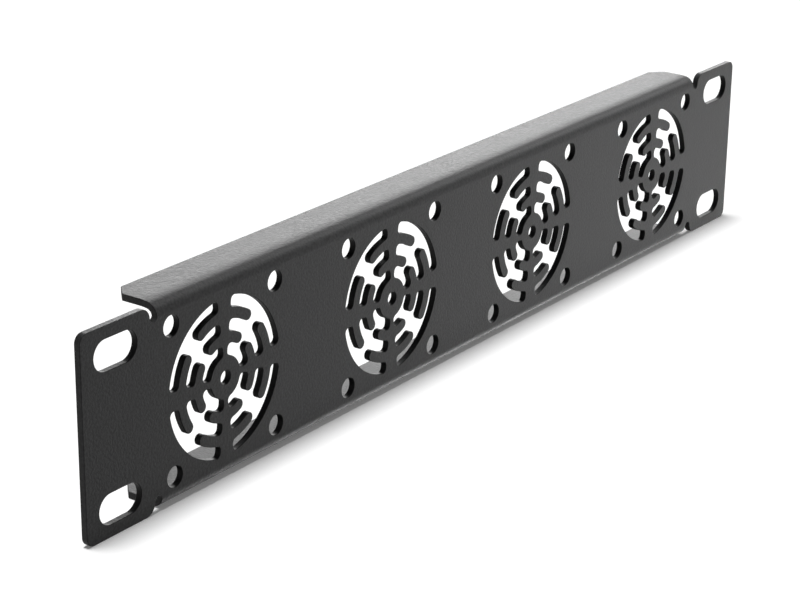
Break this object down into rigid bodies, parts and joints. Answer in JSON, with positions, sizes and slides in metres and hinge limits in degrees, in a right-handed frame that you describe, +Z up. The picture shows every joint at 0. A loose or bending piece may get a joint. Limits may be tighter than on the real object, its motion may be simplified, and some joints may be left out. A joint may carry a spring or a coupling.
{
  "type": "rack fan tray",
  "caption": "Shallow folded-steel front panel for a 10 inch rack, one unit high, with finger-slot fan grilles, screw holes for small fans and slotted rack ears.",
  "frame": {"origin": "middle of the four rack slots, on the front face of the panel", "axes": "+X to the right along the panel as seen from the front, +Y to the back of the rack, +Z up"},
  "size_m": [0.254, 0.012, 0.0436],
  "materials": {
    "black_powder_coat": "fine-textured satin powder coat"
  },
  "bodies": {
    "root": {"fan_panel": "black_powder_coat"}
  },
  "joints": []
}
